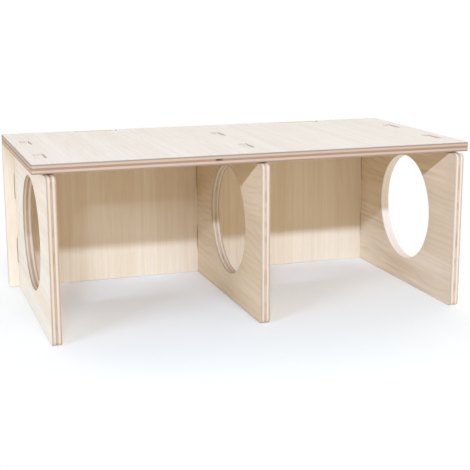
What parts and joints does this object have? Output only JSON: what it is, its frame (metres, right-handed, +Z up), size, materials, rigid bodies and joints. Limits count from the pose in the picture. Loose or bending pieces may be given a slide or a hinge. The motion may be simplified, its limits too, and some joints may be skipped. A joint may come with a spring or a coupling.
{
  "type": "hamster house",
  "caption": "Open-fronted small-pet house of slotted plywood panels: two rooms side by side, round doorways through the cross walls, flat lift-off roof.",
  "frame": {"origin": "centre of the footprint's bounding rectangle, on the ground", "axes": "+X along the roof to the right as seen from the open front, +Y from the open front to the back wall, +Z up"},
  "size_m": [0.24, 0.1254, 0.0915],
  "materials": {
    "roof_plywood": "bare sanded plywood, grain from front to rear, laser-cut edges",
    "wall_plywood": "bare sanded plywood, grain from front to rear, laser-cut edges",
    "back_plywood": "bare sanded plywood, upright grain, laser-cut edges"
  },
  "bodies": {
    "uprights": {"left_wall": "wall_plywood", "middle_wall": "wall_plywood", "right_wall": "wall_plywood", "back_wall": "back_plywood"},
    "roof": {"roof_panel": "roof_plywood"}
  },
  "joints": [
    {"name": "roof_lift", "type": "slide", "parent": "uprights", "child": "roof", "axis": [0, 0, 1], "range_m": [0, 0.11]}
  ]
}
